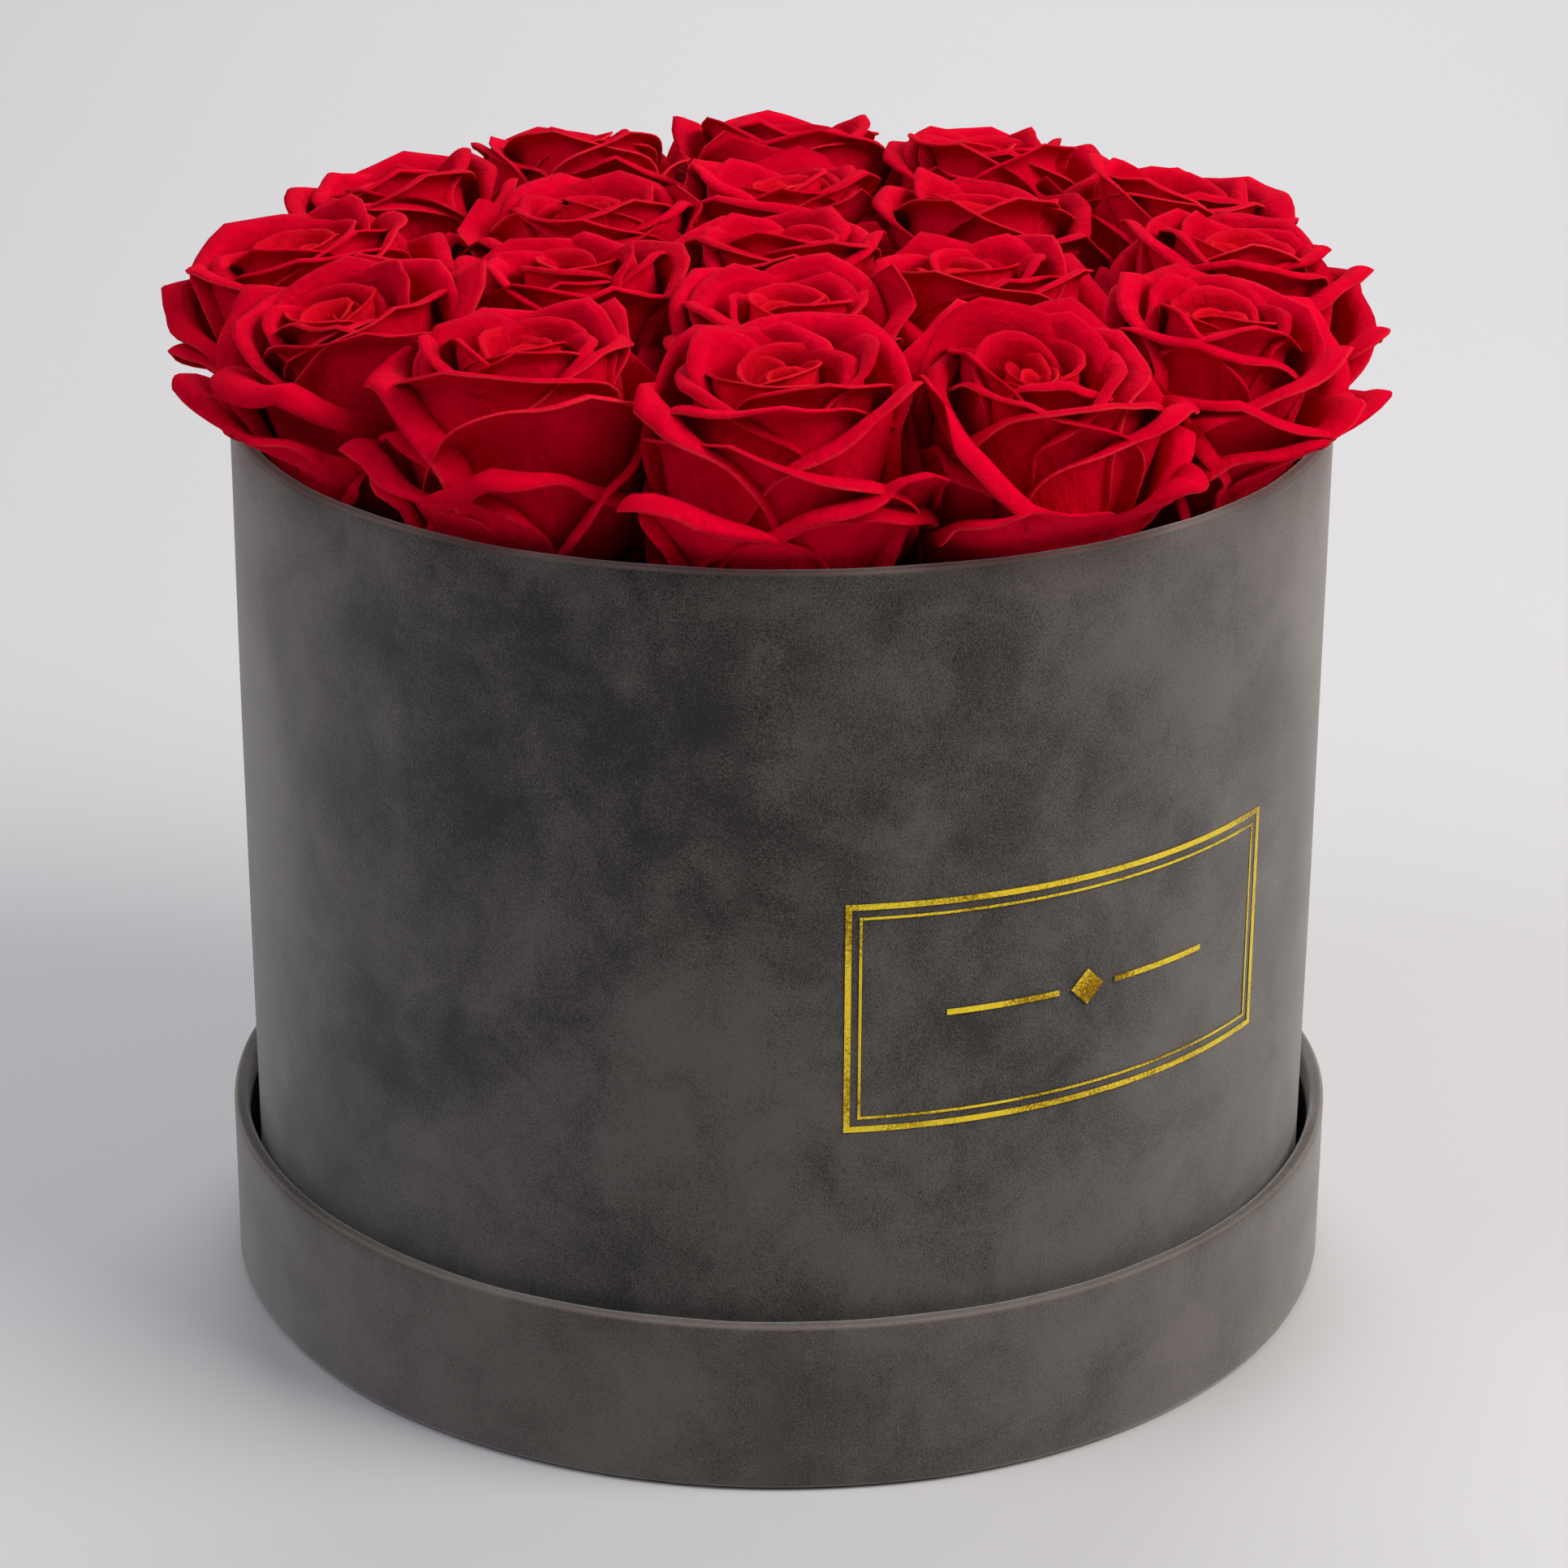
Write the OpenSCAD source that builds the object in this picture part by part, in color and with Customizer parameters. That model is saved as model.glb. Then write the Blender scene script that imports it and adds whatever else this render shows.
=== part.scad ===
// Round flower box: a rigid paper-covered box of roses, standing in its own upturned lid.
// Millimetres, +Z up, origin at the middle of the face that stands on the table, front towards -Y.

/* [Box] */
// Outside diameter of the box over its paper
box_d = 210; // [196:1:224]
// Height of the box from its underside to its rim
box_h = 172; // [150:1:200]

/* [Lid] */
// Height of the lid
lid_h = 34; // [25:1:60]
// Radial room between the box and the lid wall
lid_gap = 1.7; // [1:0.1:4]

/* [Board and paper] */
// Thickness of the chipboard
board_t = 2; // [1.5:0.1:3]
// Thickness of the suede paper
suede_t = 0.5; // [0.3:0.05:0.8]
// Thickness of the lining paper
liner_t = 0.3; // [0.15:0.05:0.5]
// Width of the suede paper folded under a base
hem_w = 12; // [8:1:20]
// Depth of the suede paper folded over a rim and down inside
turn_in = 12; // [8:1:18]
// How far the paper that covers a base stays inside the edge
cover_inset = 1.5; // [1:0.1:4]
// How far the lining stops below a rim
liner_drop = 5; // [3:0.5:7]

/* [Foil frame] */
// Length of the frame round the wall
frame_w = 93; // [70:1:110]
// Height of the frame
frame_h = 44; // [30:1:60]
// Height of the middle of the frame above the underside of the box
frame_mid = 89; // [65:1:110]
// Angle from the front round to the middle of the frame
frame_turn = 32; // [-60:1:60]
// Width of the outer line
outer_line = 1.1; // [0.6:0.1:2]
// Width of the inner line
inner_line = 0.5; // [0.3:0.1:1]
// Distance from the outer edge of the frame to the inner line
inner_inset = 2.5; // [2.1:0.1:5]
// Thickness of the foil
foil_t = 0.1; // [0.05:0.01:0.2]
// Length of each bar of the ornament
bar_w = 22; // [10:1:26]
// Width of the diamond between the bars
diamond_w = 7; // [4:0.5:10]
// Room between the diamond and each bar
bar_gap = 2.5; // [1:0.5:5]

/* [Foam] */
// Radial room between the foam and the lining
foam_gap = 0.5; // [0.2:0.1:2]
// Height of the lower foam disc
lower_foam_h = 75; // [55:1:85]
// Depth of the foam below the rim
foam_drop = 18; // [14:0.5:22]

/* [Roses] */
// Distance from the lining in to the outer ring of roses where they are widest
edge_room = 14.7; // [13:0.1:18]
// Outward lean of the outer ring of roses
outer_lean = 10; // [6:0.5:12]
// Outward lean of the inner ring of roses
inner_lean = 4; // [2:0.5:6]
// Height of a bloom
bloom_h = 47; // [42:0.5:52]
// Room between neighbouring blooms
bloom_gap = 0.9; // [0.7:0.1:2]
// Height of the underside of a bloom above the foam
neck_h = 3; // [2:0.5:5]
// Thickness of a petal
petal_t = 0.9; // [0.6:0.1:1]
// How far the edge of the outermost petal of a bloom rolls outwards
lip = 2; // [1.5:0.1:2.5]
// Radial step from one open petal to the next
petal_step = 1.4; // [1.2:0.1:1.6]
// How far the outermost petals of the outer ring reach past the bloom
guard_reach = 5.5; // [3:0.5:6]

/* [Stems] */
// Diameter of a stem
stem_d = 5; // [3:0.5:6]
// Depth of a stem in the foam, measured along the stem
stem_depth = 40; // [25:1:50]
// Depth of a stem in its bloom
stem_seat = 5; // [3:0.5:6]

/* [Hidden] */
$fn = 72;

// Levels and radii of the lid, which lies upside down under the box
lid_r = box_d / 2 + lid_gap + liner_t + 2 * suede_t + board_t;
lid_hem_z = suede_t;
lid_board_z = lid_hem_z + suede_t;
lid_floor_z = lid_board_z + board_t + liner_t;

// Levels and radii of the box
box_r = box_d / 2;
box_z = lid_floor_z;
box_hem_z = box_z + liner_t;
box_board_z = box_hem_z + suede_t;
box_floor_z = box_board_z + board_t + liner_t;
rim_z = box_z + box_h;
box_in_r = box_r - board_t - 2 * suede_t - liner_t;

// Foam
foam_r = box_in_r - foam_gap;
foam_split_z = box_floor_z + lower_foam_h;
foam_top_z = rim_z - foam_drop;

// Three rings of roses share one spacing: a middle rose, an inner ring and an outer ring
spacing = (box_in_r - edge_room) / 2;
bloom_r = (spacing - bloom_gap) / 2;
widest_h = neck_h + 0.8 * bloom_h;
inner_count = 6;
outer_count = 12;
rose_count = 1 + inner_count + outer_count;

// Cup that carries the petals of a bloom: a ball cut flat at the calyx and at the core
calyx_r = 6;
cup_r = 0.75 * bloom_r;
cup_mid = sqrt(cup_r * cup_r - calyx_r * calyx_r);
core_top = 0.6 * bloom_h;
core_r = sqrt(cup_r * cup_r - pow(core_top - cup_mid, 2));

// Petals, from the heart outwards: rolled bud petals, cupped middle petals, open petals
bud_petals = 3;
mid_petals = 3;
open_petals = 5;
bud_r = 2.6;
open_r = bloom_r - lip - petal_t / 2;
mid_r = open_r - petal_step * open_petals;
mid_step = (mid_r - bud_r) / (bud_petals + mid_petals);
bud_drop = 1.5;
bud_sink = 1;
bud_taper = 0.9;
mid_fall = 0.5;
mid_sink = 5;
mid_foot = 0.8;
mid_lip = 0.7 * lip;
open_drop = 2;
open_fall = 1.6;
open_foot = 0.4 * bloom_r;
open_low = 0.12 * bloom_h;
guard_lip = 1.2 * lip;
guard_low = 0.18 * bloom_h;
guard_top = 0.84 * bloom_h;

// Angles that the petals span, and the turns between petals, blooms and guard petals
bud_span = 250;
mid_span = 150;
open_span = 120;
guard_span = 72;
turn_per_petal = 137.5;
turn_per_rose = 83;
guard_turn = 28;

// Shape of a petal: height of its pointed tip, points of its line, and how full the open ones are
gable_h = 8;
cup_steps = 5;
open_full = 0.6;

// Crest and edge of a petal's lip, as shares of how far it rolls out
crest_out = 0.45;
crest_fall = 0.1;
edge_fall = 0.4;

function two_digits(n) = str(n < 10 ? "0" : "", n);
function rose_names(word) = [for (i = [1 : rose_count]) str(word, "_", two_digits(i))];

// ---------------------------------------------------------------- board and paper

// Disc with its underside at a level
module disc(r, low, t) {
    translate([0, 0, low]) cylinder(r = r, h = t);
}

// Straight tube between two levels
module tube(r_out, t, low, high) {
    rotate_extrude() translate([r_out - t, low]) square([t, high - low]);
}

// Points of a quarter round of the outer edge of folded paper
function fold(r, z, radius, from) =
    [for (a = [0 : 22.5 : 90]) [r - radius, z] + radius * [cos(from + a), sin(from + a)]];

// Suede paper round a wall: hemmed under the base, folded over the rim and down inside
module wrap(r_out, low, high) {
    t = suede_t;
    wall = r_out - t - board_t;
    rotate_extrude()
        polygon(concat(
            [[r_out - hem_w, low]],
            fold(r_out, low + t, t, -90),
            fold(r_out, high - t, t, 0),
            [[wall, high], [wall - t, high - t], [wall - t, high - turn_in], [wall, high - turn_in],
             [wall, high - t], [r_out - t, high - t], [r_out - t, low + t], [r_out - hem_w, low + t]]));
}

// Paper that covers a base and laps over the hem of the wrap; the hem lies hem_t thick on the board
module base_cover(r_out, low, t, hem_t) {
    step = r_out - hem_w;
    rotate_extrude()
        polygon([[0, low + hem_t], [step - t, low + hem_t], [step, low], [r_out - cover_inset, low],
                 [r_out - cover_inset, low + t], [step, low + t], [step, low + t + hem_t],
                 [0, low + t + hem_t]]);
}

// Lining of a wall, which laps over the folded-in suede at the rim
module wall_liner(r_board, low, rim) {
    lap = rim - turn_in;
    top = rim - liner_drop;
    inner = r_board - suede_t;
    rotate_extrude()
        polygon([[r_board - liner_t, low], [r_board, low], [r_board, lap], [inner, lap], [inner, top],
                 [inner - liner_t, top], [inner - liner_t, lap - liner_t], [r_board - liner_t, lap - liner_t]]);
}

// ---------------------------------------------------------------- lid

module lid_board_disc() {
    color("#9c8f7d") disc(lid_r - suede_t - board_t, lid_board_z, board_t);
}

module lid_board_ring() {
    color("#9c8f7d") tube(lid_r - suede_t, board_t, lid_board_z, lid_h - suede_t);
}

module lid_wrap() {
    color("#5b5754") wrap(lid_r, lid_hem_z, lid_h);
}

module lid_cover() {
    color("#5b5754") base_cover(lid_r, 0, suede_t, suede_t);
}

module lid_liner_disc() {
    color("#26242a") disc(lid_r - suede_t - board_t, lid_board_z + board_t, liner_t);
}

module lid_liner_ring() {
    color("#26242a") wall_liner(lid_r - suede_t - board_t, lid_floor_z, lid_h);
}

// ---------------------------------------------------------------- box

module box_board_base() {
    color("#9c8f7d") disc(box_r - suede_t - board_t, box_board_z, board_t);
}

module box_board_tube() {
    color("#9c8f7d") tube(box_r - suede_t, board_t, box_board_z, rim_z - suede_t);
}

module box_wrap() {
    color("#56524f") wrap(box_r, box_hem_z, rim_z);
}

module box_base_paper() {
    color("#26242a") base_cover(box_r, box_z, liner_t, suede_t);
}

module box_liner_base() {
    color("#26242a") disc(box_r - suede_t - board_t, box_board_z + board_t, liner_t);
}

module box_liner_tube() {
    color("#26242a") wall_liner(box_r - suede_t - board_t, box_floor_z, rim_z);
}

// ---------------------------------------------------------------- foil stamped on the wall

// Patch of foil on the wall, w long round the wall and h high, about the middle of the frame
module wall_patch(w, h, across = 0, spare = 0) {
    turn = (w / box_r) * 180 / PI;
    rotate([0, 0, frame_turn - 90 + (across / box_r) * 180 / PI - turn / 2])
        rotate_extrude(angle = turn)
            translate([box_r - spare, box_z + frame_mid - h / 2]) square([foil_t + 2 * spare, h]);
}

module rectangle_line(inset, line) {
    difference() {
        wall_patch(frame_w - 2 * inset, frame_h - 2 * inset);
        wall_patch(frame_w - 2 * (inset + line), frame_h - 2 * (inset + line), spare = 1);
    }
}

module foil_outer_line() {
    color("#d9a514") rectangle_line(0, outer_line);
}

module foil_inner_line() {
    color("#d9a514") rectangle_line(inner_inset, inner_line);
}

// Plain printer's ornament: a diamond between two bars
module foil_ornament() {
    color("#d9a514") {
        for (side = [-1, 1])
            wall_patch(bar_w, outer_line, across = side * (diamond_w / 2 + bar_gap + bar_w / 2));
        intersection() {
            wall_patch(2 * diamond_w, 2 * diamond_w);
            rotate([0, 0, frame_turn])
                translate([0, 0, box_z + frame_mid])
                    rotate([90, 45, 0])
                        linear_extrude(box_d) square(diamond_w / sqrt(2), center = true);
        }
    }
}

// ---------------------------------------------------------------- foam

module foam_lower() {
    color("#3f6b3c") disc(foam_r, box_floor_z, lower_foam_h);
}

module foam_upper() {
    color("#3f6b3c")
        difference() {
            disc(foam_r, foam_split_z, foam_top_z - foam_split_z);
            for (i = [0 : rose_count - 1]) at_rose(i) stem_rod(1);
        }
}

// ---------------------------------------------------------------- roses

// Ring, place in the ring and lean of each rose, counted from the middle outwards
function ring_of(i) = i == 0 ? 0 : i <= inner_count ? 1 : 2;
function azimuth(i) =
    ring_of(i) == 0 ? 0
    : ring_of(i) == 1 ? -90 + (i - 1) * 360 / inner_count
    : -90 + (i - 1 - inner_count) * 360 / outer_count;
function lean(i) = [0, inner_lean, outer_lean][ring_of(i)];

// Stands its children on the foam in the place of rose i, leaning away from the middle
module at_rose(i) {
    rotate([0, 0, azimuth(i)])
        translate([ring_of(i) * spacing - widest_h * sin(lean(i)), 0, foam_top_z])
            rotate([0, lean(i), 0]) children();
}

// Stem from its foot in the foam to its seat in the bloom; above lengthens it to cut a clear hole
module stem_rod(above = 0) {
    translate([0, 0, -stem_depth])
        cylinder(d = stem_d, h = stem_depth + neck_h + (above > 0 ? above : stem_seat));
}

module stem(i) {
    color("#5f7a3a") at_rose(i) stem_rod();
}

function unit(v) = v / norm(v);
function backwards(list) = [for (i = [len(list) - 1 : -1 : 0]) list[i]];

// Line moved sideways by t, square to its own direction at each point
function beside(line, t) =
    [for (i = [0 : len(line) - 1])
        let (run = unit(line[min(i + 1, len(line) - 1)] - line[max(i - 1, 0)]))
        line[i] + t * [run[1], -run[0]]];

// Cup line from the foot of a petal up to where its edge rolls out; full below 1 fills it out lower down
function cup_line(foot, wide, low, high, full) =
    [for (i = [0 : cup_steps])
        let (s = i / cup_steps)
        [foot + (wide - foot) * pow(sin(90 * s), full), low + (high - low) * s]];

// One petal: a part turn of its cup line, with its outline cut to a blunt point
module petal(foot, wide, low, high, roll, span, full) {
    line = concat(cup_line(foot, wide, low, high - roll, full),
                  [[wide + crest_out * roll, high - crest_fall * roll],
                   [wide + roll, high - edge_fall * roll]]);
    half = wide + roll + petal_t;
    intersection() {
        rotate([0, 0, -span / 2])
            rotate_extrude(angle = span)
                polygon(concat(beside(line, petal_t / 2), backwards(beside(line, -petal_t / 2))));
        rotate([90, 0, 90])
            linear_extrude(half)
                polygon([[-half, 0], [half, 0], [half, high - gable_h], [0, high + petal_t],
                         [-half, high - gable_h]]);
    }
}

// Closed petal of the bud, which is a plain roll round the heart
module bud_petal(wide, low, high, span) {
    rotate([0, 0, -span / 2])
        rotate_extrude(angle = span)
            polygon([[wide - petal_t / 2, low], [wide + petal_t / 2, low],
                     [bud_taper * wide + petal_t / 2, high], [bud_taper * wide - petal_t / 2, high]]);
}

// Turn of petal n of a bloom, along the spiral
module in_spiral(n) {
    rotate([0, 0, turn_per_petal * n]) children();
}

// Solid cup that carries the petals
module bloom_cup() {
    from = -asin(cup_mid / cup_r);
    to = asin((core_top - cup_mid) / cup_r);
    rotate_extrude()
        polygon(concat(
            [[0, 0], [calyx_r, 0]],
            [for (i = [1 : cup_steps - 1])
                let (a = from + (to - from) * i / cup_steps) [cup_r * cos(a), cup_mid + cup_r * sin(a)]],
            [[core_r, core_top], [0, core_top]]));
}

// Petals in a spiral: rolls round the heart, then cups, then open petals that fall outwards
module bloom_petals() {
    for (n = [0 : bud_petals - 1])
        in_spiral(n) bud_petal(bud_r + n * mid_step, core_top - bud_sink, bloom_h - bud_drop, bud_span);
    for (n = [bud_petals : bud_petals + mid_petals - 1])
        let (wide = bud_r + n * mid_step)
            in_spiral(n)
                petal(mid_foot * wide, wide, core_top - mid_sink, bloom_h - mid_fall * n, mid_lip,
                      mid_span, 1);
    for (n = [0 : open_petals - 1])
        let (wide = mid_r + petal_step * (n + 1))
            in_spiral(n + bud_petals + mid_petals)
                petal(open_foot, wide, open_low, bloom_h - open_drop - open_fall * n,
                      bloom_r - petal_t / 2 - wide, open_span, open_full);
}

// Two outermost petals of a bloom at the rim, which hang outwards over the box
module guard_petals() {
    for (side = [-1, 1])
        rotate([0, 0, side * guard_turn])
            petal(open_foot, open_r + guard_reach - (side > 0 ? petal_step : 0), guard_low,
                  guard_top, guard_lip, guard_span, 1);
}

// Rose i: its bloom, bored for the stem
module rose(i) {
    color("#c2101c")
        at_rose(i)
            difference() {
                translate([0, 0, neck_h]) {
                    bloom_cup();
                    rotate([0, 0, turn_per_rose * i]) bloom_petals();
                    if (ring_of(i) == 2) guard_petals();
                }
                stem_rod();
            }
}

// ---------------------------------------------------------------- assembly

lid_board_disc();
lid_board_ring();
lid_wrap();
lid_cover();
lid_liner_disc();
lid_liner_ring();
box_board_base();
box_board_tube();
box_wrap();
box_base_paper();
box_liner_base();
box_liner_tube();
foil_outer_line();
foil_inner_line();
foil_ornament();
foam_lower();
foam_upper();
for (i = [0 : rose_count - 1]) {
    rose(i);
    stem(i);
}
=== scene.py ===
import math
import random

import bpy
import numpy as np
from mathutils import Matrix, Vector


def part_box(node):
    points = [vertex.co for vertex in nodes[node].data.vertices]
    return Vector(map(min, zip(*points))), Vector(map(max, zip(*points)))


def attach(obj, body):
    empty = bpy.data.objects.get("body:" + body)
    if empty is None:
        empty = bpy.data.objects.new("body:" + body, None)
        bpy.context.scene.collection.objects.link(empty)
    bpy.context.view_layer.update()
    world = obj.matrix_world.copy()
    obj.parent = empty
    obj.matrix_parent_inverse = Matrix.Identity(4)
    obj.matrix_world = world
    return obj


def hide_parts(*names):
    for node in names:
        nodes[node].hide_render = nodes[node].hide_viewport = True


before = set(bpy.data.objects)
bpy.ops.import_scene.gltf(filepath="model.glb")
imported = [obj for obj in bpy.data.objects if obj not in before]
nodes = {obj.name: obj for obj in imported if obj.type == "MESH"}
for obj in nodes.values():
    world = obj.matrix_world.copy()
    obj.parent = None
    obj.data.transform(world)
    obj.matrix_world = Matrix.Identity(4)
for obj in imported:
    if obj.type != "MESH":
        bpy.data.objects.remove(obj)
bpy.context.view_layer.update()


# ---------------------------------------------------------------- camera
# A long lens a little under a metre away, just above the roses and tipped down on to them.
# It is panned and rolled by about a third of a degree, so that the box stands just off upright.

view_pan = math.radians(-0.288)
view_tip = math.radians(21.80)
view_roll = math.radians(0.306)
camera_place = (0.0047605, -0.795874, 0.413507)
ahead = Vector((
    math.sin(view_pan) * math.cos(view_tip),
    math.cos(view_pan) * math.cos(view_tip),
    -math.sin(view_tip)))
level = Vector((math.cos(view_pan), -math.sin(view_pan), 0))
above = level.cross(ahead)
side = math.cos(view_roll) * level + math.sin(view_roll) * above
above = math.cos(view_roll) * above - math.sin(view_roll) * level
camera_turn = Matrix((side, above, -ahead)).transposed().to_4x4()

lens = bpy.data.cameras.new("camera")
lens.lens = 99.53
lens.sensor_width = 36
lens.sensor_fit = "HORIZONTAL"
camera = bpy.data.objects.new("camera", lens)
camera.matrix_world = Matrix.Translation(camera_place) @ camera_turn
bpy.context.scene.collection.objects.link(camera)
bpy.context.scene.camera = camera
bpy.context.scene.view_settings.view_transform = "Standard"


# ---------------------------------------------------------------- floor and light
# A sheet of pale grey background paper that runs flat under the box and curves up behind it.
# One soft lamp from the upper right, weaker ones from the left and from behind.

def to_linear(code):
    """Linear colour of an sRGB hex code."""
    parts = [int(code[n:n + 2], 16) / 255 for n in (1, 3, 5)]
    return tuple(c / 12.92 if c <= 0.04045 else ((c + 0.055) / 1.055) ** 2.4 for c in parts) + (1,)


def set_sockets(tree, node, sockets):
    """Gives each input of a node, by name or number, a value or the output that feeds it."""
    for name, value in sockets.items():
        if isinstance(value, bpy.types.NodeSocket):
            tree.links.new(value, node.inputs[name])
        else:
            node.inputs[name].default_value = value


def add_node(tree, kind, sockets=None, **settings):
    """Adds a node with its settings, and sets or links its inputs."""
    made = tree.nodes.new("ShaderNode" + kind)
    for name, value in settings.items():
        setattr(made, name, value)
    set_sockets(tree, made, sockets or {})
    return made


def new_material(name):
    """A material with a surface shader and nothing else; returns it, its tree and the shader."""
    made = bpy.data.materials.new(name)
    made.use_nodes = True
    shader = made.node_tree.nodes["Principled BSDF"]
    return made, made.node_tree, shader


sweep_half = 3.0
sweep_front = -3.0
sweep_bend_start = 0.75
sweep_bend = 0.7
sweep_top = 3.0
sweep_steps = 24
sweep_line = [(sweep_front, 0.0), (sweep_bend_start, 0.0)]
for step in range(1, sweep_steps + 1):
    turn = math.radians(90 * step / sweep_steps)
    sweep_line.append((sweep_bend_start + sweep_bend * math.sin(turn), sweep_bend * (1 - math.cos(turn))))
sweep_line.append((sweep_bend_start + sweep_bend, sweep_top))
sweep_points = [(x, y, z) for y, z in sweep_line for x in (-sweep_half, sweep_half)]
sweep_faces = [(2 * n, 2 * n + 1, 2 * n + 3, 2 * n + 2) for n in range(len(sweep_line) - 1)]
sweep_mesh = bpy.data.meshes.new("background_paper")
sweep_mesh.from_pydata(sweep_points, [], sweep_faces)
sweep_mesh.polygons.foreach_set("use_smooth", [True] * len(sweep_mesh.polygons))
sweep = bpy.data.objects.new("background_paper", sweep_mesh)
bpy.context.scene.collection.objects.link(sweep)

# Matt background paper: one even pale grey with no shine
paper_grey, paper_tree, paper_shader = new_material("matt_background_paper")
set_sockets(paper_tree, paper_shader, {"Base Color": to_linear("#c9c8ca"), "Roughness": 0.85})
sweep_mesh.materials.append(paper_grey)

lamp_aim = Vector((0, 0, 0.11))
for lamp_name, place, size, watts, tint in (
        ("key_lamp", (0.92, -0.38, 1.0), 0.9, 17, "#fffaf4"),
        ("left_lamp", (-0.85, -0.45, 1.0), 0.9, 5.5, "#f3f7ff"),
        ("back_lamp", (0.1, 1.2, 1.1), 1.2, 14, "#ffffff")):
    lamp_data = bpy.data.lights.new(lamp_name, "AREA")
    lamp_data.shape = "DISK"
    lamp_data.size = size
    lamp_data.energy = watts
    lamp_data.color = to_linear(tint)[:3]
    lamp = bpy.data.objects.new(lamp_name, lamp_data)
    lamp.location = place
    lamp.rotation_euler = (lamp_aim - Vector(place)).to_track_quat("-Z", "Y").to_euler()
    bpy.context.scene.collection.objects.link(lamp)

room = bpy.data.worlds.new("room")
room.use_nodes = True
set_sockets(room.node_tree, room.node_tree.nodes["Background"], {
    "Color": to_linear("#e9ebef"), "Strength": 0.29})
bpy.context.scene.world = room


# ---------------------------------------------------------------- suede paper on the lid
# Flocked paper with a soft nap, glued round the lid's wall, folded under its hem and over its rim.
# Its ends lap each other at the back. The nap is brushed in clouds, and along the rim a pale line is
# partly rubbed nap and partly a painted highlight.

# Sizes in mm: the two sheets, the strips folded under and over, the round of a fold, and the lap
MM = 0.001
SUEDE = 0.5
BOARD = 2.0
HEM = 12.0
TURN_IN = 12.0
FOLD = 1.1
LAP = 26.0
WALL_ROWS = 16
WALL_COLUMNS = 480


def wall_dent(angle, height):
    """How far glued paper lies inside a true round, in mm: soft hollows 40 to 130 mm long."""
    broad = 0.07 * np.sin(5 * angle + 0.031 * height + 0.6)
    middling = 0.05 * np.sin(11 * angle - 0.052 * height + 2.1)
    small = 0.03 * np.sin(17 * angle + 0.083 * height + 4.0)
    return (broad + middling + small) - 0.15


def paper_lap(angle, end, run):
    """Height of the lap at the back, in mm: a sharp end of paper, then a long ease down to the wall."""
    past = (angle - end) % (2 * math.pi)
    return np.where(past < run, SUEDE * 0.8 * (1 - past / run) ** 2, 0.0)


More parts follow.
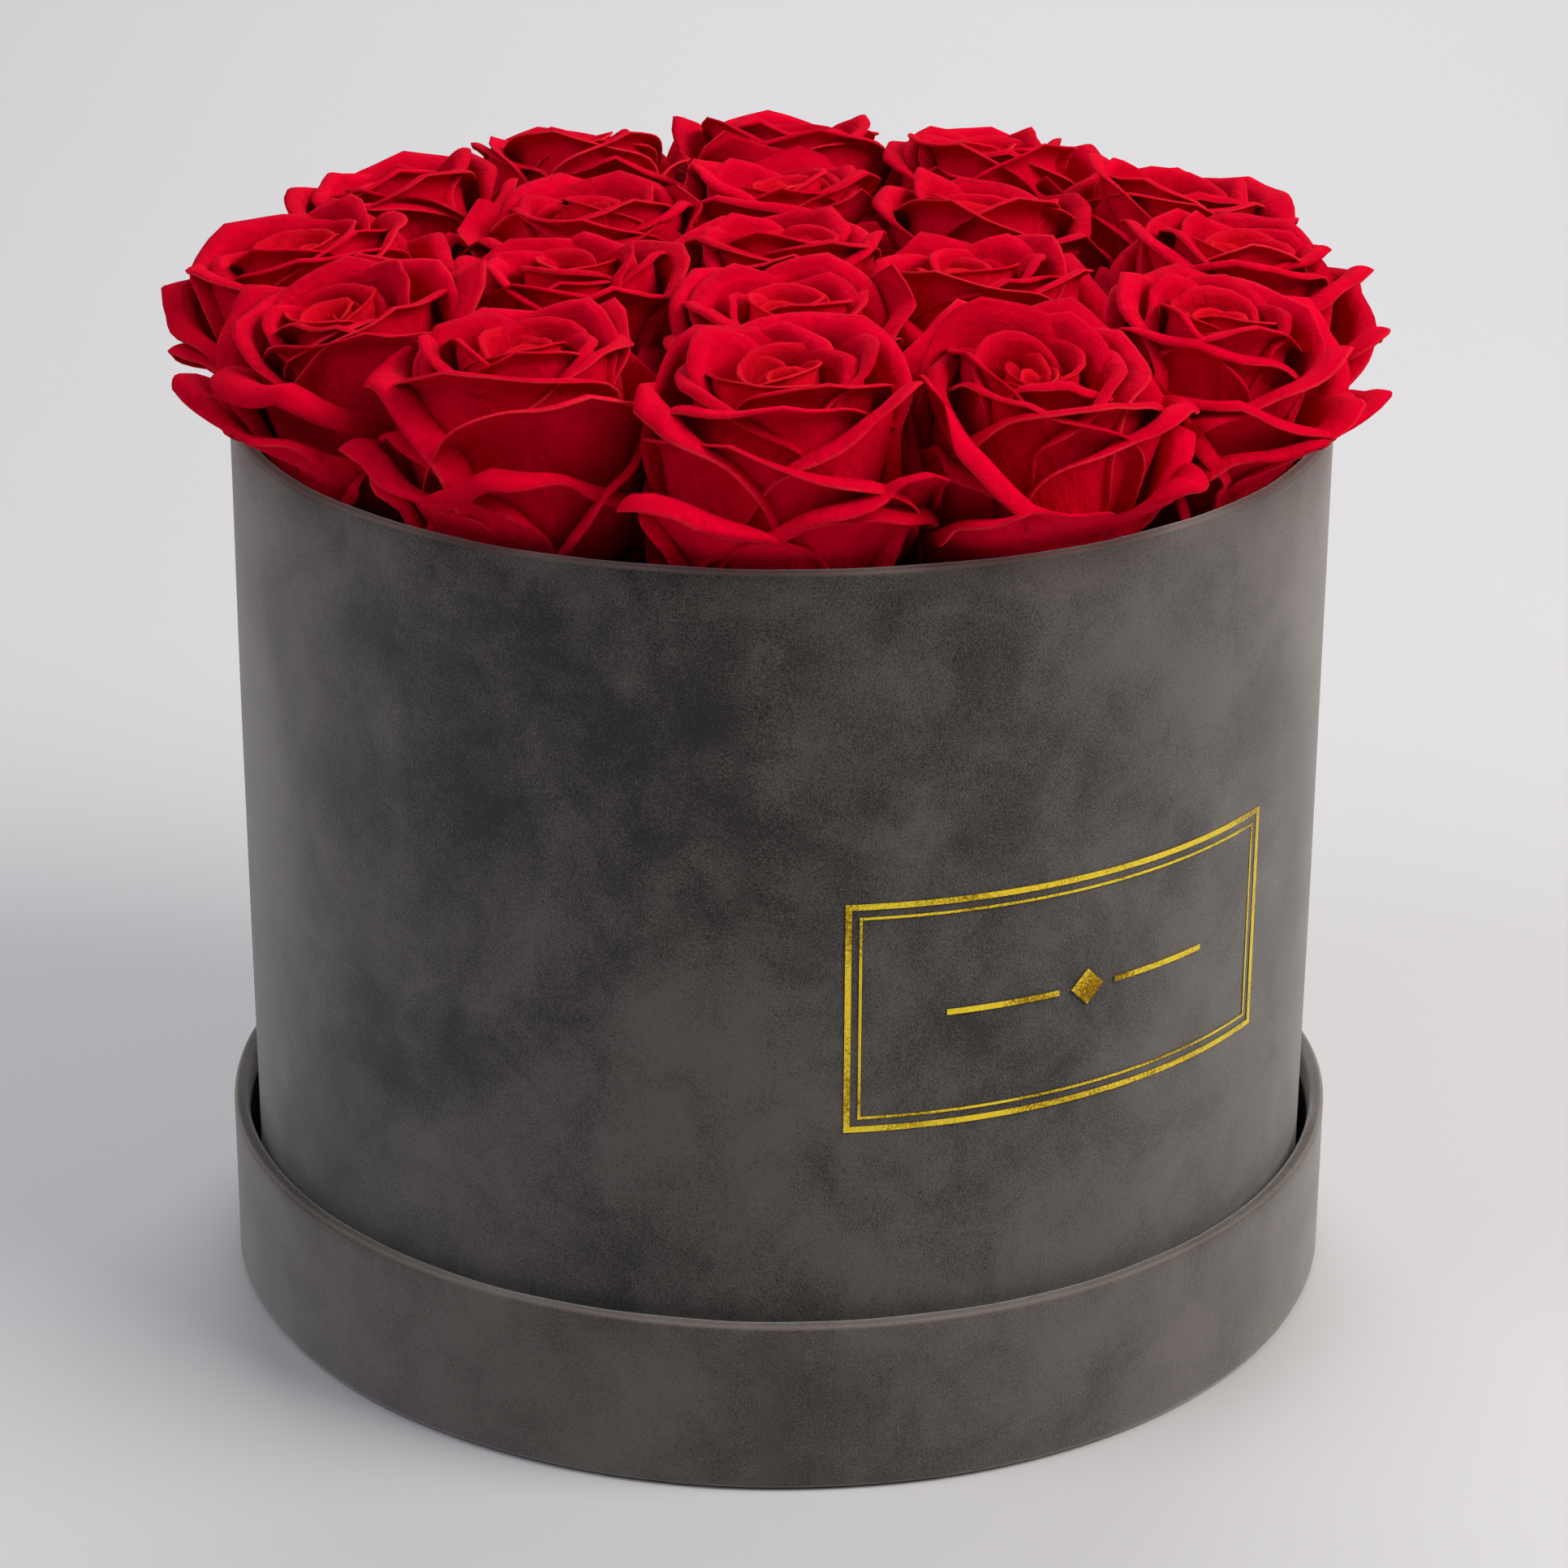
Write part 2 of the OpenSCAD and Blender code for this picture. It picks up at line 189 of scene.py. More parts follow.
def wrapped_wall(name, low_corner, high_corner, lap_at, paler_all_over):
    """Suede paper round a wall, as a closed skin: hem, wall, rim fold and the strip folded inside.

    The last argument is how much paler the whole wall is, from 0 to 1."""
    radius, low, high = high_corner.x / MM, low_corner.z / MM, high_corner.z / MM
    wall = radius - SUEDE - BOARD
    inner = wall - SUEDE
    bend = np.radians(range(0, 91, 15))
    line = [(radius - HEM, low), (radius - HEM / 2, low), (radius - 2 * FOLD, low)]
    line += [(radius - FOLD + FOLD * math.sin(a), low + FOLD - FOLD * math.cos(a)) for a in bend]
    straight = high - low - 2 * FOLD
    line += [(radius, low + FOLD + straight * n / WALL_ROWS) for n in range(1, WALL_ROWS)]
    line += [(radius - FOLD + FOLD * math.cos(a), high - FOLD + FOLD * math.sin(a)) for a in bend]
    line += [(inner + FOLD - FOLD * math.sin(a), high - FOLD + FOLD * math.cos(a)) for a in bend]
    line += [(inner, high - TURN_IN / 2), (inner, high - TURN_IN), (wall, high - TURN_IN)]
    line += [(wall, high - SUEDE), (radius - SUEDE, high - SUEDE)]
    line += [(radius - SUEDE, low + SUEDE), (radius - HEM, low + SUEDE)]
    line = np.array(line)

    # Columns run evenly round, with five close together at the sharp end of the lap
    around = np.linspace(0, 2 * math.pi, WALL_COLUMNS, endpoint=False)
    at_lap = lap_at + np.array([-0.004, -0.002, 0.0, 0.002, 0.004])
    around = np.sort(np.concatenate([around, at_lap]) % (2 * math.pi))
    angle, r = np.meshgrid(around, line[:, 0])
    z = np.repeat(line[:, 1:], len(around), axis=1)

    # Hollows and lap are in the outer face only, and fade out in the first 1.2 mm under it. The edge
    # of the rim waves a little where the paper was pulled over it by hand, in the top 3 mm.
    skin, skin_fade, rim_band = 1.2, 0.8, 3
    outside = np.clip((r - (radius - skin)) / skin_fade, 0, 1)
    r = r + outside * (wall_dent(angle, z) + paper_lap(angle, lap_at, LAP / radius))
    at_rim = np.clip((z - (high - rim_band)) / rim_band, 0, 1)
    waves = 0.10 * np.sin(4 * angle + 1.0) + 0.06 * np.sin(13 * angle) + 0.04 * np.sin(29 * angle + 2.0)
    z = z + at_rim * waves

    points = np.stack([r * np.cos(angle), r * np.sin(angle), z], -1).reshape(-1, 3) * MM
    rows, columns = angle.shape
    index = np.arange(rows * columns).reshape(rows, columns)
    next_row = np.roll(index, -1, 0)
    next_column = np.roll(index, -1, 1)
    faces = np.stack([index, next_column, np.roll(next_row, -1, 1), next_row], -1).reshape(-1, 4)
    mesh = bpy.data.meshes.new(name)
    mesh.from_pydata(points.tolist(), [], faces.tolist())
    mesh.polygons.foreach_set("use_smooth", [True] * len(mesh.polygons))

    # A pale line along the top of the rim, partly rubbed nap and partly a painted highlight, and a rubbed
    # line half as pale along the lap's end
    rim_line, rim_pale_width, lap_rub = high - 0.15, 0.6, 0.4
    near_top = np.clip(1 - np.abs(z - rim_line) / rim_pale_width, 0, 1)
    from_lap = np.abs((angle - lap_at + math.pi) % (2 * math.pi) - math.pi) * radius
    near_lap = np.clip(1 - from_lap / lap_rub, 0, 1)
    paleness = paler_all_over + (1 - paler_all_over) * np.maximum(near_top, 0.5 * near_lap) * outside
    paler_by_wear_and_highlight = mesh.attributes.new("paler_by_wear_and_highlight", "FLOAT", "POINT")
    paler_by_wear_and_highlight.data.foreach_set("value", paleness.ravel().astype(np.float32))
    mesh.update()
    made = bpy.data.objects.new(name, mesh)
    bpy.context.scene.collection.objects.link(made)
    return made


def per_metre(size):
    """Scale of a pattern whose features are this many mm across."""
    return 1000 / size


def dress(names, material):
    """Gives CAD nodes their material."""
    for name in names:
        for slot in nodes[name].material_slots:
            slot.material = material


# Flocked suede paper: short upright fibres, so it has no gloss and brightens at a glancing angle.
# Where a hand has brushed it the nap leans over: it changes tone in clouds 90 mm and strokes 17 mm
# across, and catches the light unevenly over 40 mm. The fibres are 0.1 mm thick, drawn at 0.3 mm.
suede, suede_tree, suede_shader = new_material("flocked_suede_paper")
suede_place = add_node(suede_tree, "TexCoord").outputs["Object"]
suede_laid = add_node(suede_tree, "Mapping", {
    "Vector": suede_place, "Location": (0.28, 0.86, -1.16)}).outputs[0]
suede_clouds = add_node(suede_tree, "TexNoise", {
    "Vector": suede_laid, "Scale": per_metre(90), "Detail": 3.0, "Roughness": 0.55, "Distortion": 0.8})
suede_strokes = add_node(suede_tree, "TexNoise", {
    "Vector": suede_laid, "Scale": per_metre(17), "Detail": 4.0, "Roughness": 0.65, "Distortion": 0.5})
suede_grain = add_node(suede_tree, "TexNoise", {
    "Vector": suede_place, "Scale": per_metre(0.3), "Detail": 1.0, "Roughness": 0.6})
suede_soft = add_node(suede_tree, "Math", {
    0: suede_clouds.outputs["Fac"], 1: 0.75}, operation="MULTIPLY")
suede_mid = add_node(suede_tree, "Math", {
    0: suede_strokes.outputs["Fac"], 1: 0.5, 2: suede_soft.outputs[0]}, operation="MULTIPLY_ADD")
suede_fine = add_node(suede_tree, "Math", {
    0: suede_grain.outputs["Fac"], 1: 0.6, 2: suede_mid.outputs[0]}, operation="MULTIPLY_ADD")
suede_share = add_node(suede_tree, "MapRange", {
    "Value": suede_fine.outputs[0], "From Min": 0.77, "From Max": 1.04})
suede_tone = add_node(suede_tree, "Mix", {
    0: suede_share.outputs[0], 6: to_linear("#191716"), 7: to_linear("#544f4c")}, data_type="RGBA")
# Paler towards tan grey: along the rim partly rubbed nap and partly a painted highlight, along the lap
# rubbed nap, and over a whole wall by its given amount
suede_wear_and_highlight = add_node(suede_tree, "Attribute", attribute_name="paler_by_wear_and_highlight")
suede_wear_and_highlight_part = add_node(suede_tree, "Math", {
    0: suede_wear_and_highlight.outputs["Fac"], 1: 0.75}, operation="MULTIPLY")
suede_edge = add_node(suede_tree, "Mix", {
    0: suede_wear_and_highlight_part.outputs[0], 6: suede_tone.outputs[2], 7: to_linear("#7d7069")}, data_type="RGBA")
suede_lean = add_node(suede_tree, "TexNoise", {
    "Vector": suede_laid, "Scale": per_metre(40), "Detail": 1.0, "Roughness": 0.4, "Distortion": 0.4})
suede_leaning = add_node(suede_tree, "Math", {
    0: suede_lean.outputs["Fac"], 1: 1.3}, operation="MULTIPLY")
suede_nap = add_node(suede_tree, "Math", {
    0: suede_grain.outputs["Fac"], 1: 0.1, 2: suede_leaning.outputs[0]}, operation="MULTIPLY_ADD")
suede_bump = add_node(suede_tree, "Bump", {
    "Strength": 1.0, "Distance": 0.001, "Height": suede_nap.outputs[0]})
set_sockets(suede_tree, suede_shader, {
    "Base Color": suede_edge.outputs[2],
    "Normal": suede_bump.outputs[0],
    "Roughness": 0.92,
    "Specular IOR Level": 0.3,
    "Sheen Weight": 1.0,
    "Sheen Roughness": 0.45,
    "Sheen Tint": to_linear("#d8d4d0")})

lid_lap_at = math.radians(97)
# The lid's whole wall is a little paler than the box's
lid_paler_all_over = 0.12
lid_wall = wrapped_wall("lid_suede", *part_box("lid_wrap"), lid_lap_at, lid_paler_all_over)
lid_wall.data.materials.append(suede)
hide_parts("lid_wrap")
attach(lid_wall, "lid")
dress(["lid_cover"], suede)


# ---------------------------------------------------------------- board and lining of the lid and box
# Discs and tubes of grey chipboard, pressed from waste fibre, that give the lid and the box their
# stiffness. Inside they are lined with smooth dark paper, which is glued on and covers the hems.

# Chipboard: matt grey-brown pulp with darker and paler flecks 2 mm long
chipboard, chip_tree, chip_shader = new_material("pressed_chipboard")
chip_place = add_node(chip_tree, "TexCoord").outputs["Object"]
chip_flecks = add_node(chip_tree, "TexNoise", {
    "Vector": chip_place, "Scale": per_metre(2), "Detail": 4.0, "Roughness": 0.7})
chip_share = add_node(chip_tree, "MapRange", {
    "Value": chip_flecks.outputs["Fac"], "From Min": 0.35, "From Max": 0.65})
chip_tone = add_node(chip_tree, "Mix", {
    0: chip_share.outputs[0], 6: to_linear("#857a6b"), 7: to_linear("#a99e8e")}, data_type="RGBA")
chip_bump = add_node(chip_tree, "Bump", {
    "Strength": 0.3, "Distance": 0.0002, "Height": chip_flecks.outputs["Fac"]})
set_sockets(chip_tree, chip_shader, {
    "Base Color": chip_tone.outputs[2], "Normal": chip_bump.outputs[0], "Roughness": 0.9})
dress(("lid_board_disc", "lid_board_ring", "box_board_base", "box_board_tube"), chipboard)

# Calendered lining paper: near black, with the faint sheen of rolled paper and fibres 1.5 mm long
lining, lining_tree, lining_shader = new_material("calendered_lining_paper")
lining_place = add_node(lining_tree, "TexCoord").outputs["Object"]
lining_fibres = add_node(lining_tree, "TexNoise", {
    "Vector": lining_place, "Scale": per_metre(1.5), "Detail": 3.0, "Roughness": 0.6})
lining_tone = add_node(lining_tree, "Mix", {
    0: lining_fibres.outputs["Fac"], 6: to_linear("#1d1b1f"), 7: to_linear("#2e2b31")}, data_type="RGBA")
lining_bump = add_node(lining_tree, "Bump", {
    "Strength": 0.15, "Distance": 0.0001, "Height": lining_fibres.outputs["Fac"]})
set_sockets(lining_tree, lining_shader, {
    "Base Color": lining_tone.outputs[2], "Normal": lining_bump.outputs[0], "Roughness": 0.6})
dress(("lid_liner_disc", "lid_liner_ring", "box_base_paper", "box_liner_base", "box_liner_tube"), lining)


# ---------------------------------------------------------------- suede paper on the box
# The same flocked paper round the tall wall, hemmed under the base and folded over the rim.
# Its ends lap at the back, a little to one side of the lap of the lid.

box_low, box_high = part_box("box_wrap")
box_lap_at = math.radians(84)
box_paler_all_over = 0.0
box_wall = wrapped_wall("box_suede", box_low, box_high, box_lap_at, box_paler_all_over)
box_wall.data.materials.append(suede)
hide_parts("box_wrap")
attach(box_wall, "box")


# ---------------------------------------------------------------- foil frame on the wall
# Gold foil pressed on to the flock with a hot die: two lines round a plain diamond between bars.
# The nap stands up through the foil, so it glitters in grains and has dark pinholes.

# Hot-stamped gold foil: a metal film broken into facets about 0.4 mm across, with pinholes 0.5 mm
# across. It is painted brighter and darker in stretches 14 mm long along its lines: painted reflection.
foil, foil_tree, foil_shader = new_material("hot_stamped_gold_foil")
foil_place = add_node(foil_tree, "TexCoord").outputs["Object"]
foil_facets = add_node(foil_tree, "TexVoronoi", {"Vector": foil_place, "Scale": per_metre(0.4)})
foil_pits = add_node(foil_tree, "TexNoise", {
    "Vector": foil_place, "Scale": per_metre(0.5), "Detail": 2.0, "Roughness": 0.7})
foil_painted_reflection = add_node(foil_tree, "TexNoise", {"Vector": foil_place, "Scale": per_metre(14), "Detail": 1.0})
foil_pits_and_reflection = add_node(foil_tree, "Math", {
    0: foil_painted_reflection.outputs["Fac"], 1: 1.3, 2: foil_pits.outputs["Fac"]}, operation="MULTIPLY_ADD")
foil_share = add_node(foil_tree, "MapRange", {
    "Value": foil_pits_and_reflection.outputs[0], "From Min": 0.85, "From Max": 1.2})
foil_tone = add_node(foil_tree, "Mix", {
    0: foil_share.outputs[0], 6: to_linear("#94690e"), 7: to_linear("#ffdf3c")}, data_type="RGBA")
foil_bump = add_node(foil_tree, "Bump", {
    "Strength": 0.6, "Distance": 0.0002, "Height": foil_facets.outputs["Distance"]})
set_sockets(foil_tree, foil_shader, {
    "Base Color": foil_tone.outputs[2], "Normal": foil_bump.outputs[0], "Metallic": 1.0, "Roughness": 0.3})
dress(("foil_outer_line", "foil_inner_line", "foil_ornament"), foil)


# ---------------------------------------------------------------- foam and stems
# Two discs of floral foam pushed down into the box, and the cut stems that hold the blooms in it.
# Each stem is stuck 40 mm deep into its own hole in the upper disc.

# Phenolic floral foam: dull green, crumbly, with open cells drawn at 0.8 mm
foam, foam_tree, foam_shader = new_material("open_cell_floral_foam")
foam_place = add_node(foam_tree, "TexCoord").outputs["Object"]
foam_cells = add_node(foam_tree, "TexVoronoi", {"Vector": foam_place, "Scale": per_metre(0.8)})
foam_tone = add_node(foam_tree, "Mix", {
    0: foam_cells.outputs["Distance"], 6: to_linear("#2b4a2c"), 7: to_linear("#4a7346")}, data_type="RGBA")
foam_bump = add_node(foam_tree, "Bump", {
    "Strength": 0.6, "Distance": 0.0004, "Height": foam_cells.outputs["Distance"]})
set_sockets(foam_tree, foam_shader, {
    "Base Color": foam_tone.outputs[2], "Normal": foam_bump.outputs[0], "Roughness": 0.95})
dress(("foam_lower", "foam_upper"), foam)

# Dried rose stem: dull green bark with fibres running along it, 0.6 mm apart and eight times as long
bark, bark_tree, bark_shader = new_material("dried_green_stem")
bark_place = add_node(bark_tree, "TexCoord").outputs["Object"]
bark_run = add_node(bark_tree, "Mapping", {"Vector": bark_place, "Scale": (1.0, 1.0, 0.12)})
bark_fibres = add_node(bark_tree, "TexNoise", {
    "Vector": bark_run.outputs[0], "Scale": per_metre(0.6), "Detail": 2.0})
bark_tone = add_node(bark_tree, "Mix", {
    0: bark_fibres.outputs["Fac"], 6: to_linear("#4a5a2c"), 7: to_linear("#77864b")}, data_type="RGBA")
bark_bump = add_node(bark_tree, "Bump", {
    "Strength": 0.4, "Distance": 0.0002, "Height": bark_fibres.outputs["Fac"]})
set_sockets(bark_tree, bark_shader, {
    "Base Color": bark_tone.outputs[2], "Normal": bark_bump.outputs[0], "Roughness": 0.8})
stem_names = sorted(name for name in nodes if name.startswith("stem_"))
dress(stem_names, bark)


# ---------------------------------------------------------------- roses
# Preserved garden roses, cut short: a tight heart, cupped petals round it and broad outer petals
# whose edges roll back to a point. Each bloom is pressed against its neighbours and the box's rim.

# Sizes in mm: height of a bloom, its neck above the foam, thickness of a petal and of the lining
BLOOM = 47.0
NECK = 3.0
PETAL = 0.4
LINING = 0.3

# About a whole turn in radians, for waves and petals that may start anywhere
A_TURN = 6.28


def ease(low, high, value):
    """Smooth step from 0 at low to 1 at high."""
    part = np.clip((value - low) / (high - low), 0, 1)
    return part * part * (3 - 2 * part)


def ripple(draw, along, counts):
    """Random waves along an edge that runs from -1 to 1, of about unit height."""
    total = np.zeros_like(along)
    for n, count in enumerate(counts):
        total = total + 0.75 ** n * np.sin(along * count * math.pi + draw.uniform(0, A_TURN))
    return total / sum(0.75 ** n for n in range(len(counts)))


def petal_sheet(draw, petal):
    """Points of one petal in mm, row by row from its claw to its rolled edge.

    Also gives how near each point is to the edge, and where it lies along and across the fibres."""
    columns, rows, roll_rows = petal["mesh"]
    half = petal["half"]

    # The side view of the cup that the petal lies on: a smooth curve led by four points
    cup_steps = 80
    s = np.linspace(0, 1, cup_steps)[:, None]
    a, b, c, d = [np.array(p, float) for p in petal["cup"]]
    cup = (1 - s) ** 3 * a + 3 * (1 - s) ** 2 * s * b + 3 * (1 - s) * s ** 2 * c + s ** 3 * d
    step = np.linalg.norm(np.diff(cup, axis=0), axis=1)
    run = np.concatenate([[0], np.cumsum(step)])
    length = run[-1]
    rise = (cup[-1] - cup[-2]) / step[-1]

    # Outline: a claw that widens to broad, nearly level shoulders and comes to a straight point.
    # turn goes round it from the claw to the point, at 0, and back, closest set at the point.
    crowding, reach = 1.25, 0.94
    turn = np.linspace(-1, 1, columns)
    turn = np.sign(turn) * np.abs(turn) ** crowding * reach * math.pi
    along_edge = turn / math.pi
    sine, cosine = np.sin(turn), np.cos(turn)
    widest = petal["widest"] * length
    edge_x = half * np.sign(sine) * np.abs(sine) ** petal["square"]
    edge_x = edge_x * (1 + 0.03 * ripple(draw, along_edge, (3, 5, 8)))
    shoulder = np.abs(cosine) ** petal["square"]
    peak = np.clip(1 - np.abs(edge_x) / half, 0, 1)
    crown = shoulder * (1 - petal["point"]) + peak * petal["point"]
    edge_y = np.where(cosine > 0, widest + (length - widest) * crown, widest * (1 + cosine))
    edge_y = edge_y * (1 + 0.02 * ripple(draw, along_edge, (2, 3, 6)))
    row_crowding = 0.85
    out = np.linspace(0, 1, rows + 1)[1:, None] ** row_crowding
    x, y = edge_x * out, edge_y * out

    # Soft folds along the petal, then the sheet is laid on the cup
    phase = [draw.uniform(0, A_TURN) for _ in range(5)]
    broad_fold = np.sin(x / half * 2.6 + phase[0]) * np.sin(y / length * 3.1 + phase[1])
    long_fold = np.sin(x / half * 5.3 + phase[2] + 2 * y / length)
    fine_fold = np.sin(x / half * 11 + phase[3] + 3 * y / length)
    fold = petal["wavy"] * out ** 1.5 * (broad_fold + 0.5 * long_fold + 0.3 * out * fine_fold)
    on_cup = np.clip(y, 0, length)
    over = y - on_cup
    radius = np.interp(on_cup, run, cup[:, 0]) + over * rise[0]
    height = np.interp(on_cup, run, cup[:, 1]) + over * rise[1]
    across = x / half
    angle = petal["turn"] + x / np.maximum(radius, 0.35 * petal["wide"])
    leaving = petal["spiral"] * across + petal["flare"] * np.abs(across) ** 3 * y / length
    radius = radius + fold + leaving * y / length
    height = height + petal["droop"] * np.abs(across) ** 2.2
    sheet = np.stack([radius * np.cos(angle), radius * np.sin(angle), height], -1)

    # The edge rolls outwards in one smooth bend, widest along the shoulders and of uneven width,
    # and draws out to a beak at the point. away leads off the sheet, outward out of the bloom.
    edge = sheet[-1]
    along = np.gradient(edge, axis=0)
    along /= np.linalg.norm(along, axis=1)[:, None] + 1e-9
    away = edge - sheet[-2]
    away -= np.sum(away * along, axis=1)[:, None] * along
    away /= np.linalg.norm(away, axis=1)[:, None] + 1e-9
    outward = np.cross(along, away)
    outward *= np.sign(np.sum(outward * edge * (1, 1, 0), axis=1).mean())
    upper = ease(0.15, 0.6, edge_y / length)
    beak_half = 0.13 * half
    bend_ease = 0.9
    tip = petal["beak"] * np.exp(-(edge_x / beak_half) ** 2)
    bend = np.radians(petal["fold_turn"]) * upper
    bend = bend * (1 + 0.34 * ripple(draw, along_edge, (2, 3, 5, 7))) * (1 - 0.15 * tip)
    lip = petal["lip"] * (1 + petal["uneven"] * np.sin(turn)) * (0.25 + 0.75 * upper)
    lip = lip * (1 + 0.4 * ripple(draw, along_edge, (2, 3, 5))) * (1 + 0.3 * tip)
    rolled = [edge]
    for n in range(roll_rows):
        now = bend * ((n + 0.5) / roll_rows) ** bend_ease
        onward = np.cos(now)[:, None] * away + np.sin(now)[:, None] * outward
        rolled.append(rolled[-1] + (lip / roll_rows)[:, None] * onward)
    points = np.concatenate([sheet, np.array(rolled[1:])])
    nearness = np.concatenate([out[:, 0] * 0.7, np.linspace(0.75, 1, roll_rows)])

    # Each petal sits a little askew on the neck
    pivot = (0, 0, 6)
    hinge = Vector((math.cos(petal["turn"]), math.sin(petal["turn"]), 0))
    askew = np.array(Matrix.Rotation(math.radians(petal["askew"]), 3, hinge))
    points = (points - pivot) @ askew.T + pivot
    fibres = np.stack([
        np.tile(along_edge * half, (len(points), 1)),
        np.tile(nearness[:, None] * length, (1, columns)),
        np.full(points.shape[:2], draw.uniform(0, 500))], -1)
    return points, np.tile(nearness[:, None], (1, columns)), fibres


def bloom_petals(draw, at_rim):
    """Sizes of the petals of one bloom, heart first; at_rim adds petals that hang out over the rim.

    mesh: columns, rows and rows of the rolled edge. cup: points (out, up) that lead its side view.
    half: half its width. point, beak, square, widest: its outline. spiral, flare, droop, wavy: how
    it leaves the cup. lip, uneven, fold_turn: width and turn of its rolled edge. Lengths are in mm,
    fold_turn and askew in degrees, turn in radians, heart and tone from 0 to 1."""
    hearts, cups, opens, lows = 8, 9, 4, 3
    hand = draw.choice((-1, 1))
    turn = draw.uniform(0, A_TURN)
    full = draw.uniform(0.9, 1.06)
    petals = []
    for n in range(hearts + cups + opens + lows):
        turn += hand * math.radians(137.5 + draw.uniform(-12, 12))
        if n < hearts:
            part = n / (hearts - 1)
            wide = (1.2 + 7.4 * part) * full
            top = BLOOM - 4.5 + 3.5 * part + draw.uniform(-0.8, 0.8)
            petal = {
                "mesh": (27, 9, 4),
                "cup": [(2, 12), (wide + 2.5, 21), (wide * 1.12 + 1.2, 34), (wide + 0.3, top)],
                "half": (2.6 - 0.9 * part) * wide + 1.6,
                "point": 0.1, "beak": 0.0, "square": 0.7, "widest": 0.72,
                "spiral": 1.0, "flare": 0.3, "droop": 0.0, "wavy": 0.4,
                "lip": 0.8 + 1.2 * part,
                "fold_turn": 70 + 50 * part + draw.uniform(-25, 25),
                "askew": draw.uniform(-6, 6)}
        elif n < hearts + cups:
            part = (n - hearts) / (cups - 1)
            wide = (10.0 + 7.2 * part) * full
            top = BLOOM - 0.5 - 2.0 * part + draw.uniform(-1.1, 1.1)
            petal = {
                "mesh": (47, 10, 6),
                "cup": [(3, 7), (wide + 3.0, 10), (wide + 1.2, 30), (wide + 0.6, top)],
                "half": wide * 1.34,
                "point": 0.3, "beak": 0.35, "square": 0.68, "widest": 0.72,
                "spiral": 1.6, "flare": 1.0, "droop": -0.5, "wavy": 0.6,
                "lip": 3.0 + 2.2 * part + draw.uniform(-0.6, 1.0),
                "fold_turn": 112 + draw.uniform(-25, 30),
                "askew": draw.uniform(-8, 8)}
        elif n < hearts + cups + opens:
            part = (n - hearts - cups) / (opens - 1)
            wide = 18.2 + 3.0 * part
            top = BLOOM - 4.2 - 4.4 * part + draw.uniform(-1.1, 1.1)
            petal = {
                "mesh": (61, 11, 8),
                "cup": [(3.5, 4), (wide * 0.95, 4), (wide * 0.95, 26), (wide + 1.4, top)],
                "half": wide * 1.2,
                "point": 0.42, "beak": 1.0, "square": 0.7, "widest": 0.66,
                "spiral": 1.3, "flare": 2.2, "droop": -1.0, "wavy": 0.8,
                "lip": 6.2 + draw.uniform(-1.2, 1.8),
                "fold_turn": 118 + draw.uniform(-28, 30),
                "askew": draw.uniform(-11, 11)}
        else:
            part = (n - hearts - cups - opens) / (lows - 1)
            wide = 21.0 + 1.2 * part
            top = BLOOM - 14.0 - 4.0 * part + draw.uniform(-2, 2)
            petal = {
                "mesh": (61, 11, 8),
                "cup": [(4, 3), (wide * 0.92, 4), (wide * 0.95, 22), (wide + 1.0, top)],
                "half": wide,
                "point": 0.5, "beak": 1.0, "square": 0.75, "widest": 0.64,
                "spiral": 0.8, "flare": 2.2, "droop": -1.0, "wavy": 0.9,
                "lip": 5.8 + draw.uniform(-1.2, 1.6),
                "fold_turn": 118 + draw.uniform(-30, 30),
                "askew": draw.uniform(-10, 10)}
        heart = max(0.0, 1 - n / hearts)
        petal.update(turn=turn, wide=wide, heart=heart, uneven=draw.uniform(-0.5, 0.5), tone=draw.random())
        petals.append(petal)
    for toward in ((-0.55, 0.5) if at_rim else ()):
        wide = 22.0 + draw.uniform(-0.5, 1.5)
        top = BLOOM - 14.0 + draw.uniform(-2.5, 2.5)
        petals.append({
            "mesh": (61, 11, 8),
            "cup": [(4, 2), (wide * 0.9, 6), (wide * 0.95, 22), (wide + 5.0, top)],
            "half": 20.0,
            "point": 0.55, "beak": 1.0, "square": 0.78, "widest": 0.62,
            "spiral": 0.6, "flare": 1.5, "droop": -1.0, "wavy": 0.9,
            "lip": 6.0 + draw.uniform(-1.2, 1.6),
            "fold_turn": 115 + draw.uniform(-30, 30),
            "askew": draw.uniform(-12, 12),
            "turn": toward + draw.uniform(-0.25, 0.25),
            "wide": wide, "heart": 0.0,
            "uneven": draw.uniform(-0.5, 0.5), "tone": draw.random()})
    return petals


def stem_line(name):
    """Foot and direction of a stem: the middles of its two ends, the lower first, in mm."""
    points = np.array([v.co[:] for v in nodes[name].data.vertices]) / MM
    end_band = 1.2
    low = points[points[:, 2] <= points[:, 2].min() + end_band].mean(axis=0)
    high = points[points[:, 2] >= points[:, 2].max() - end_band].mean(axis=0)
    return low, (high - low) / np.linalg.norm(high - low)


def press(beyond, room, keep):
    """Eases distances past -room towards -keep, so that petals flatten against what they meet."""
    give = room - keep
    return np.where(beyond > -room, -room + give * np.tanh((beyond + room) / give), beyond)


# The stems stand in rings of 1, 6 and 12, and number 7 is the first of those along the rim. Where
# two blooms meet, the fuller one pushes the other back by up to 2.2 mm, and each bloom nods by up
# to 4 degrees on its stem.
FIRST_AT_RIM = 7
PUSH = 2.2
NOD = 4
foam_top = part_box("foam_upper")[1].z / MM
rim_top = box_high.z / MM
wall_inside = box_high.x / MM - 2 * SUEDE - BOARD - LINING
stems = [stem_line(name) for name in stem_names]
stems = [(foot + run * (foam_top - foot[2]) / run[2], run) for foot, run in stems]
sharing = random.Random(7)
share = [[0.0] * len(stems) for _ in stems]
for one in range(len(stems)):
    for other in range(one):
        share[one][other] = sharing.uniform(-PUSH, PUSH)
        share[other][one] = -share[one][other]
leaning = random.Random(3)


